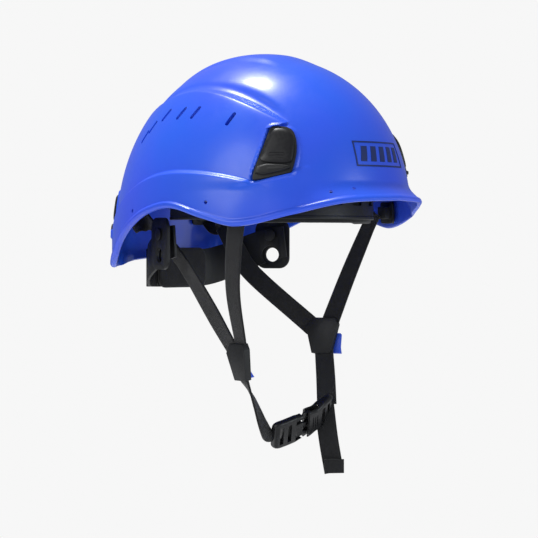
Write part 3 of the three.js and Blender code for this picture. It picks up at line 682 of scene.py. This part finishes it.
# ---------------------------------------------------------------- accessory clips
def domed_plate(name, outline, low, high, matrix, dome, rings=7):
    """A plate whose top swells to the middle, with a rolled edge."""
    cx, cy = (sum(v) / len(outline) for v in zip(*outline))

    def ring(share, height):
        spots = [(cx + (x - cx) * share, cy + (y - cy) * share) for x, y in outline]
        return [matrix @ Vector((x, y, height)) for x, y in spots]

    roll, roll_share = 0.7, 0.14
    sections = [ring(0.97, low), ring(1, low + 0.5), ring(1, high - roll)]
    for k in range(rings):
        share = 1 - 0.96 * (k + 0.35) / rings
        dip = roll * max(0, share - (1 - roll_share)) / roll_share
        sections.append(ring(share, high - dip + dome * (1 - share * share)))
    return loft(name, sections)


def build_clip(name, angle, z, scale):
    """Pocket with its stop block, and the sprung leaf above it."""
    matrix = shell_frame(angle, z)
    top = CLIP_PLATE - CLIP_SUNK
    pocket = rounded(clip_turned(POCKET, angle, scale))
    seat = extruded(f"clip_seat_{name}", pocket, CLIP_SUNK + 1.6, -CLIP_SUNK - 1.2, matrix)
    stop = domed_plate("stop", rounded(clip_turned(STOP, angle, scale), 1), -0.5, top + 1.0, matrix, 0.3)
    lip = extruded("lip", round_rect(12 * scale, 1.6, 0.7), 1.8, top - 0.2,
                   matrix @ Matrix.Translation((0, -18.4 * scale, 0)))
    carve(seat, [stop, lip], "UNION")
    bevel(seat, 0.25, 2, 50)
    soften(seat)
    settle(seat, "helmet", BLACK, "plastic_black", f"clip_base_{name}")
    outline = rounded(clip_turned(LEAF, angle, scale))
    leaf = domed_plate(f"clip_leaf_{name}", outline, 0.6, top, matrix, 1.0)
    grips = [extruded("grip", round_rect(12 * scale, 0.8, 0.35), 4, top + 0.3,
                      matrix @ Matrix.Translation((0, (-9.5 + 2 * k) * scale, 0))) for k in range(3)]
    carve(leaf, grips)
    soften(leaf)
    return settle(leaf, f"clip_{name}", SATIN_BLACK, "plastic_black", f"clip_tongue_{name}")


# ---------------------------------------------------------------- webbing
def webbing(name, points, normals, count, width_at=lambda share: WEB_WIDTH, thick=WEB_THICK):
    """A woven band with rounded selvedges; along and across place the weave, in millimetres."""
    path, spots = spline(points, count)
    facing, _ = spline(normals, count)
    width = WEB_WIDTH
    profile = round_rect(width, thick, thick * 0.42, 2)
    flat = 8
    section = []
    for (x0, y0), (x1, y1) in zip(profile, profile[1:] + profile[:1]):
        wide = abs(x1 - x0) > width / 2
        for k in range(flat if wide else 1):
            section.append((x0 + (x1 - x0) * k / flat, y0 + (y1 - y0) * k / flat))
    sections = []
    for i, p in enumerate(path):
        run = (path[min(i + 1, count)] - path[max(i - 1, 0)]).normalized()
        face = facing[i] - run * facing[i].dot(run)
        face.normalize()
        side = run.cross(face)
        narrow = width_at(i / count) / width
        sections.append([p + side * x * narrow + face * y * (1.18 if abs(x) > width * 0.4 else 1)
                         for x, y in section])
    strap = loft(name, sections)
    across = strap.data.attributes.new("across", "FLOAT", "POINT")
    along = strap.data.attributes.new("along", "FLOAT", "POINT")
    across.data.foreach_set("value", [x + width / 2 for _ in path for x, _ in section])
    along.data.foreach_set("value", [s for s in spots for _ in section])
    return soften(strap, 50)


WORDS = {-1: "right", 1: "left"}     # the wearer's side by the sign of X


def divider(side):
    return DIVIDERS[WORDS[side]]


def strap_body(side):
    return "chin_right" if side < 0 else "helmet"


def finish_strap(strap, body, replaced):
    strap.data.materials.clear()
    strap.data.materials.append(WEBBING)
    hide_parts(replaced)
    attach(strap, body)
    return strap


def build_front_strap(side, word):
    top = Vector((side * FRONT_ANCHOR.x, FRONT_ANCHOR.y, FRONT_ANCHOR.z))
    centre, normal = divider(side)
    towards = (top - centre).normalized()
    bottom = centre + towards * 12 + Vector((0, -2, 0))
    middle = top.lerp(bottom, 0.5) + (Vector((0, 6, 0)) if side < 0 else Vector((1.5, 2, 0)))
    above = top + Vector((side * 1.5, -7, 14))
    lean = -0.1 if side < 0 else -0.35
    normals = [(side, lean, 0.1), (side, lean, 0.1), (side, -0.1, 0.05), normal]
    strap = webbing(f"front_webbing_{word}", [above, top, middle, bottom], normals, 100)
    return finish_strap(strap, strap_body(side), f"front_strap_{word}")


def build_rear_strap(side, word):
    route = [Vector(p) for p in REAR_ROUTES[word]]
    centre, normal = divider(side)
    bottom = centre + (route[3] - centre).normalized() * 12
    above = route[0] + Vector((side * 1.5, 9, 7))
    normals = [(side * 0.6, 0.8, 0), (side * 0.75, 0.65, 0), (side * 0.8, 0.6, 0), (side * 0.95, 0.3, 0),
               (side * 0.97, 0.2, -0.1), normal]
    strap = webbing(f"rear_webbing_{word}", [above, *route, bottom], normals, 160)
    return finish_strap(strap, strap_body(side), f"rear_strap_{word}")


def build_crown_strap(side, word, lift):
    """From a front hook, over the head, to the rear hook on the other side."""
    inside = Vector((0, 0, -WALL - CROWN_WEB_INSET))
    start = shell_frame(side * CROWN_HOOK_FRONT, CROWN_HOOK_Z) @ inside
    end = shell_frame(-side * CROWN_HOOK_REAR, CROWN_HOOK_Z) @ inside
    shares = np.linspace(0, 1, 17)
    rises = [(CROWN_WEB_RISE + lift) * abs(math.sin(math.pi * t)) ** 0.8 for t in shares]
    points = [start.lerp(end, t) + Vector((0, 0, rise)) for t, rise in zip(shares, rises)]
    normals = [(p.x * 0.6, p.y * 0.6, 62) for p in points]
    strap = webbing(f"crown_webbing_{word}", points, normals, 200,
                    lambda share: CROWN_WEB_WIDTH, CROWN_WEB_THICK)
    return finish_strap(strap, "helmet", f"crown_strap_{word}")


# ---------------------------------------------------------------- buckle
def buckle_matrix():
    centre = BUCKLE_END + BUCKLE_AXIS * (BUCKLE_LENGTH / 2)
    normal = (BUCKLE_FACE_HINT - BUCKLE_AXIS * BUCKLE_FACE_HINT.dot(BUCKLE_AXIS)).normalized()
    side = normal.cross(BUCKLE_AXIS)
    rows = [[BUCKLE_AXIS[k], side[k], normal[k], centre[k]] for k in range(3)]
    return Matrix((*rows, (0, 0, 0, 1)))


# The buckle hangs a few degrees flatter and a little forward of its plain CAD stand-in.
BUCKLE_LEAN, BUCKLE_NUDGE = 9, Vector((3.2, -3.8, 0))


def hang_matrix():
    turn = math.radians(AZIMUTH)
    axis = Vector((math.sin(turn), -math.cos(turn), 0))
    middle = buckle_matrix().translation
    lean = Matrix.Rotation(-math.radians(BUCKLE_LEAN), 4, axis)
    return Matrix.Translation(middle + BUCKLE_NUDGE) @ lean @ Matrix.Translation(-middle)


HANG = hang_matrix()
BUCKLE = HANG @ buckle_matrix()


def bowed(x, y, z):
    """A point in the buckle's frame, bent to follow a chin."""
    return BUCKLE @ Vector((x, y, z - x * x / 260))


def buckle_shape(name, start, end, width_at, thick_at, corner=1.8, stations=40):
    sections = []
    for k in range(stations + 1):
        x = start + (end - start) * k / stations
        section = round_rect(width_at(x), thick_at(x), min(corner, thick_at(x) * 0.45), 4)
        sections.append([bowed(x, y, z) for y, z in section])
    return loft(name, sections)


def box_tool(x0, x1, width, thick, y=0, z=0, corner=0.6):
    """A bowed block in the buckle's frame, to cut with or to join."""
    sections = [[bowed(x, y + a, z + b) for a, b in round_rect(width, thick, corner, 2)]
                for x in np.linspace(x0, x1, 12)]
    return loft("tool", sections)


def end_round(x, end, reach):
    """1 in the body, falling along a quarter circle over the last stretch before the end."""
    left = min(abs(end - x) / reach, 1)
    return math.sqrt(max(1 - (1 - left) ** 2, 0.02))


def build_buckle_female():
    half = BUCKLE_LENGTH / 2

    def width_at(x):
        waist = BUCKLE_WIDTH - 3.5 * math.exp(-((x - 10) / 5) ** 2)
        return waist * (0.8 + 0.2 * end_round(x, half, 6))

    def thick_at(x):
        return (BUCKLE_THICK - 2.6 * ease(x, 14, half)) * (0.55 + 0.45 * end_round(x, half, 4))

    body = buckle_shape("buckle_socket", 1, half, width_at, thick_at, 2.4)
    slots = [box_tool(half - 8.2, half - 5, 18, 20), box_tool(half - 15.5, half - 11.5, 18, 20)]
    inside_width, inside_thick = BUCKLE_WIDTH - 2 * BUCKLE_WALL, BUCKLE_THICK - 2 * BUCKLE_WALL + 0.6
    mouth = [box_tool(-4, BUCKLE_POCKET, inside_width, inside_thick),
             box_tool(-4, BUCKLE_POCKET - 4, BUCKLE_WIDTH + 6, 4.6)]
    grooves = [box_tool(x, x + 0.9, 12, 1.2, 0, BUCKLE_THICK / 2 + 0.1, 0.3) for x in (5, 7.4, 9.8)]
    carve(body, slots + mouth + grooves)
    bevel(body, 0.35, 2, 40)
    soften(body)
    return settle(body, "helmet", SATIN_BLACK, "plastic_black", "buckle_female")


def build_buckle_male():
    half = BUCKLE_LENGTH / 2

    def width_at(x):
        return BUCKLE_WIDTH * (0.78 + 0.22 * end_round(x, -half, 6)) - 2 * ease(x, -12, -6)

    def thick_at(x):
        return 6.2 * (0.6 + 0.4 * end_round(x, -half, 4))

    body = buckle_shape("buckle_plug", -half, -half + 26, width_at, thick_at, 2.2)
    tongue = box_tool(-half + 25, -half + 43, 5, 2.4)
    carve(body, [tongue], "UNION")
    cuts = [box_tool(-half + 4.3, -half + 7.7, 18, 20), box_tool(-half + 11.5, -half + 15, 18, 20)]
    cuts += [box_tool(-half + 19.5, -half + 29, 5.4, 12, side * 8.5) for side in (-1, 1)]
    carve(body, cuts)
    bevel(body, 0.35, 2, 40)
    soften(body)
    return settle(body, "chin_right", SATIN_BLACK, "plastic_black", "buckle_male")


def build_buckle_prongs():
    moved = HANG.copy()
    moved.translation = HANG.translation * MM
    for piece in ("buckle_prong_upper", "buckle_prong_lower"):
        refined(piece, SATIN_BLACK, "plastic_black", 0.3, 2, moved)


# ---------------------------------------------------------------- straps between divider and buckle
LOWER_WEB_NARROWING = 0.3


def facing(degrees):
    """A level direction, by its angle from +X."""
    return Vector((math.cos(math.radians(degrees)), math.sin(math.radians(degrees)), 0))


def build_lower_strap_right():
    """From the right divider to the plug's bar, narrowing as it wraps round the buckle's end."""
    end = -BUCKLE_LENGTH / 2
    back = -(BUCKLE.to_3x3() @ Vector((0, 0, 1)))
    points = [divider(-1)[0] + Vector((1.2, -0.8, -11)), (-42, -27.5, -157), (-34, -30, -176),
              bowed(end - 2.5, 1.5, -1.5), bowed(end + 6, 0, -0.5)]
    normals = [facing(165), facing(135), facing(112), back, back]

    def width_at(share):
        return WEB_WIDTH * (1 - LOWER_WEB_NARROWING * float(ease(share, 0.35, 0.8)))

    strap = webbing("lower_webbing_right", points, normals, 110, width_at)
    return finish_strap(strap, "chin_right", "lower_strap_right")


def build_lower_strap_left():
    """From the left divider to the socket's bar."""
    start = divider(1)[0] + Vector((-0.6, -2, -12))
    end = bowed(BUCKLE_LENGTH / 2 - 4, 4, -1)
    middle = start.lerp(end, 0.5) + Vector((0.5, 0, -1))
    normals = [(0.9, 0.4, -0.1), (0.8, 0.6, 0), (0.77, 0.64, 0)]
    strap = webbing("lower_webbing_left", [start, middle, end], normals, 80)
    return finish_strap(strap, "helmet", "lower_strap_left")


def build_strap_tail():
    """The free end below the socket, with its hem folded back and sewn."""
    start = bowed(BUCKLE_LENGTH / 2 - 5, 2, -3)
    middle = start.lerp(TAIL_END, 0.5) + Vector((-0.5, 0.5, 0))
    normals = [(0.77, 0.64, 0), (0.8, 0.6, 0), (0.72, 0.69, 0)]
    tail = webbing("tail_webbing", [start, middle, TAIL_END], normals, 90)
    fold = [TAIL_END + Vector(shift) for shift in ((-1.3, -1.1, 11), (-1.3, -1.1, 5), (-1.0, -0.9, -0.4))]
    hem = webbing("tail_hem", fold, [normals[-1]] * 3, 24)
    carve(tail, [hem], "UNION")
    return finish_strap(tail, "helmet", "strap_tail")


# ---------------------------------------------------------------- pads
def padded(node_name, name, voxel, cap):
    """A foam pad: the CAD solid, swollen by cloth pressure between its edges."""
    pad = new_object(name, frame["nodes"][node_name].data.copy())
    mod = pad.modifiers.new("even", "REMESH")
    mod.mode = "VOXEL"
    mod.voxel_size = voxel * MM
    apply_modifiers(pad)
    swell(pad, cap)
    mod = pad.modifiers.new("smooth", "SMOOTH")
    mod.factor = 0.5
    mod.iterations = 4
    apply_modifiers(pad)
    soften(pad, 80)
    return settle(pad, NODE_BODY[node_name], FOAM, "foam_black", node_name)


CLOTH_STEPS, CLOTH_PRESSURE = 12, 3


def swell(pad, cap):
    """Blows the pad up as pressed cloth, with no point moved further than the cap in millimetres."""
    start = np.array([v.co for v in pad.data.vertices])
    cloth = pad.modifiers.new("cloth", "CLOTH")
    cloth.settings.use_pressure = True
    cloth.settings.uniform_pressure_force = CLOTH_PRESSURE
    cloth.settings.effector_weights.gravity = 0
    cloth.point_cache.frame_start = 1
    cloth.point_cache.frame_end = CLOTH_STEPS
    scene = bpy.context.scene
    for number in range(1, CLOTH_STEPS + 1):
        scene.frame_set(number)
    apply_modifiers(pad)
    scene.frame_set(1)
    now = np.array([v.co for v in pad.data.vertices])
    move = now - start
    far = np.linalg.norm(move, axis=1, keepdims=True)
    now = start + move * np.minimum(1, cap * MM / np.maximum(far, 1e-9))
    pad.data.vertices.foreach_set("co", now.ravel())
    pad.data.update()


# ---------------------------------------------------------------- headband and cradle
def band_sweep(name, points, normals, height, thick, count):
    """A moulded band: a rounded section with a raised border along both edges."""
    path, _ = spline(points, count)
    facing, _ = spline(normals, count)
    half, t = height / 2, thick / 2
    outline = [(half, -t * 0.5), (half, t * 0.7), (half - 0.6, t * 1.25), (half - 2.2, t * 1.25),
               (half - 2.8, t * 0.8), (-half + 2.8, t * 0.8), (-half + 2.2, t * 1.25),
               (-half + 0.6, t * 1.25), (-half, t * 0.7), (-half, -t * 0.5), (-half + 0.6, -t),
               (half - 0.6, -t)]
    sections = []
    for i, p in enumerate(path):
        run = (path[min(i + 1, count)] - path[max(i - 1, 0)]).normalized()
        face = (facing[i] - run * facing[i].dot(run)).normalized()
        side = run.cross(face)
        sections.append([p + side * a + face * b for a, b in outline])
    return loft(name, sections)


def band_point(angle, z):
    turn = math.radians(angle)
    return Vector((BAND_HALF_WIDTH * math.sin(turn), -BAND_HALF_LENGTH * math.cos(turn), z))


def band_normal(angle):
    turn = math.radians(angle)
    return Vector((math.sin(turn) / BAND_HALF_WIDTH, -math.cos(turn) / BAND_HALF_LENGTH, 0)).normalized()


def build_headband():
    angles = np.linspace(-BAND_END, BAND_END, 25)
    points = [band_point(angle, BAND_Z) for angle in angles]
    normals = [band_normal(angle) for angle in angles]
    band = band_sweep("headband_moulded", points, normals, BAND_HEIGHT, BAND_THICK, 150)
    slots = []
    for angle in np.arange(-96, 97, 16):
        place = frame_at(band_point(angle, BAND_Z), band_normal(angle))
        slots.append(extruded("slot", round_rect(12, 4, 1.9), 12, -6, place))
    carve(band, slots)
    soften(band)
    return settle(band, "helmet", BLACK, "plastic_black", "headband")


# ---------------------------------------------------------------- camera, light and floor
ELEVATION, LENS, DISTANCE = 0.5, 150, 1.84
AIM = Vector((0, 0, -0.0508))
PALE, ROOM_LIGHT, FLOOR_Z, FLOOR_RADIUS = (0.93, 0.93, 0.93), 0.27, -0.5, 1.5


def build_stage():
    scene = bpy.context.scene
    scene.view_settings.view_transform = "Standard"
    az, el = math.radians(AZIMUTH), math.radians(ELEVATION)
    outward = Vector((math.sin(az) * math.cos(el), -math.cos(az) * math.cos(el), math.sin(el)))
    right = Vector((math.cos(az), math.sin(az), 0))
    camera = bpy.data.objects.new("camera", bpy.data.cameras.new("camera"))
    scene.collection.objects.link(camera)
    camera.data.lens = LENS
    camera.data.sensor_width = 36
    camera.data.clip_end = 50
    target = AIM + right * 0.0057
    camera.location = target + outward * DISTANCE
    camera.rotation_euler = outward.to_track_quat("Z", "Y").to_euler()
    scene.camera = camera

    world = bpy.data.worlds.new("studio")
    world.use_nodes = True
    tree = world.node_tree
    backdrop = tree.nodes["Background"]
    backdrop.inputs["Color"].default_value = (*PALE, 1)
    room = node(tree, "ShaderNodeBackground")
    room.inputs["Color"].default_value = (0.93, 0.96, 1.0, 1)
    room.inputs["Strength"].default_value = ROOM_LIGHT
    path, mix = tree.nodes.new("ShaderNodeLightPath"), tree.nodes.new("ShaderNodeMixShader")
    tree.links.new(path.outputs["Is Camera Ray"], mix.inputs["Fac"])
    tree.links.new(room.outputs["Background"], mix.inputs[1])
    tree.links.new(backdrop.outputs["Background"], mix.inputs[2])
    tree.links.new(mix.outputs["Shader"], tree.nodes["World Output"].inputs["Surface"])
    scene.world = world

    bm = bmesh.new()
    bmesh.ops.create_circle(bm, cap_ends=True, segments=96, radius=FLOOR_RADIUS)
    mesh = bpy.data.meshes.new("floor")
    bm.to_mesh(mesh)
    bm.free()
    floor = new_object("floor", mesh)
    floor.location.z = FLOOR_Z
    mat, tree, shader = principled("floor_paint")
    paint = noise(tree, 9, 6)
    colour = ramp(tree, paint.outputs["Fac"], (0.84, 0.84, 0.84), PALE)
    tree.links.new(colour, shader.inputs["Base Color"])
    tree.links.new(spread(tree, paint.outputs["Fac"], 0.8, 0.95), shader.inputs["Roughness"])
    floor.data.materials.append(mat)

    def lamp(name, direction, distance, size, power, colour=(1, 1, 1)):
        data = bpy.data.lights.new(name, "AREA")
        data.shape = "DISK"
        data.size = size
        data.energy = power
        data.color = colour
        obj = bpy.data.objects.new(name, data)
        scene.collection.objects.link(obj)
        d = Vector(direction).normalized()
        obj.location = d * distance
        obj.rotation_euler = d.to_track_quat("Z", "Y").to_euler()

    toward, up = outward, Vector((0, 0, 1))
    lamp("key", up * 0.96 - right * 0.22 - toward * 0.14, 1.8, 0.5, 36)
    lamp("fill", toward * 1.0 + right * 1.5 + up * 0.1, 2.4, 1.6, 22, (0.88, 0.96, 1.0))
    lamp("front", toward * 1.0 - right * 0.9 + up * 0.5, 2.4, 1.6, 26)


build_stage()


# ---------------------------------------------------------------- the helmet
def both(*kinds):
    return [f"{kind}_{word}" for kind in kinds for word in WORDS.values()]


# Moulded black pieces that keep their CAD shape, and the small ones that take a finer edge.
MOULDED = [*(f"suspension_hook_{name}" for name, *_ in CLIPS),
           *both("hanger_lug", "pivot_rivet", "nape_arm"),
           "ratchet_housing", "ratchet_cover", "adjuster_knob", "drive_pinion",
           *both("rack", "strap_divider")]
FINE_PIECES = ("rack", "drive", "nape")
MOULDED_EDGE, FINE_EDGE = 0.5, 0.25

build_shell()
build_badge()
for clip in CLIPS:
    build_clip(*clip)

build_headband()
padded("brow_pad", "brow_pad_foam", 1.3, 0.7)
padded("nape_pad", "nape_pad_foam", 1.3, 1.0)
for piece in MOULDED:
    refined(piece, BLACK, "plastic_black", FINE_EDGE if piece.startswith(FINE_PIECES) else MOULDED_EDGE)
build_buckle_prongs()
for piece in both("divider_lever"):
    refined(piece, LEVER_BLUE, "lever_blue", 0.4)
refined("knob_screw", STEEL, "steel", FINE_EDGE)

for side, word in WORDS.items():
    build_front_strap(side, word)
    build_rear_strap(side, word)
build_lower_strap_right()
build_lower_strap_left()
build_strap_tail()
build_buckle_female()
build_buckle_male()
build_crown_strap(-1, "right", 0)
build_crown_strap(1, "left", CROWN_WEB_CROSSING)
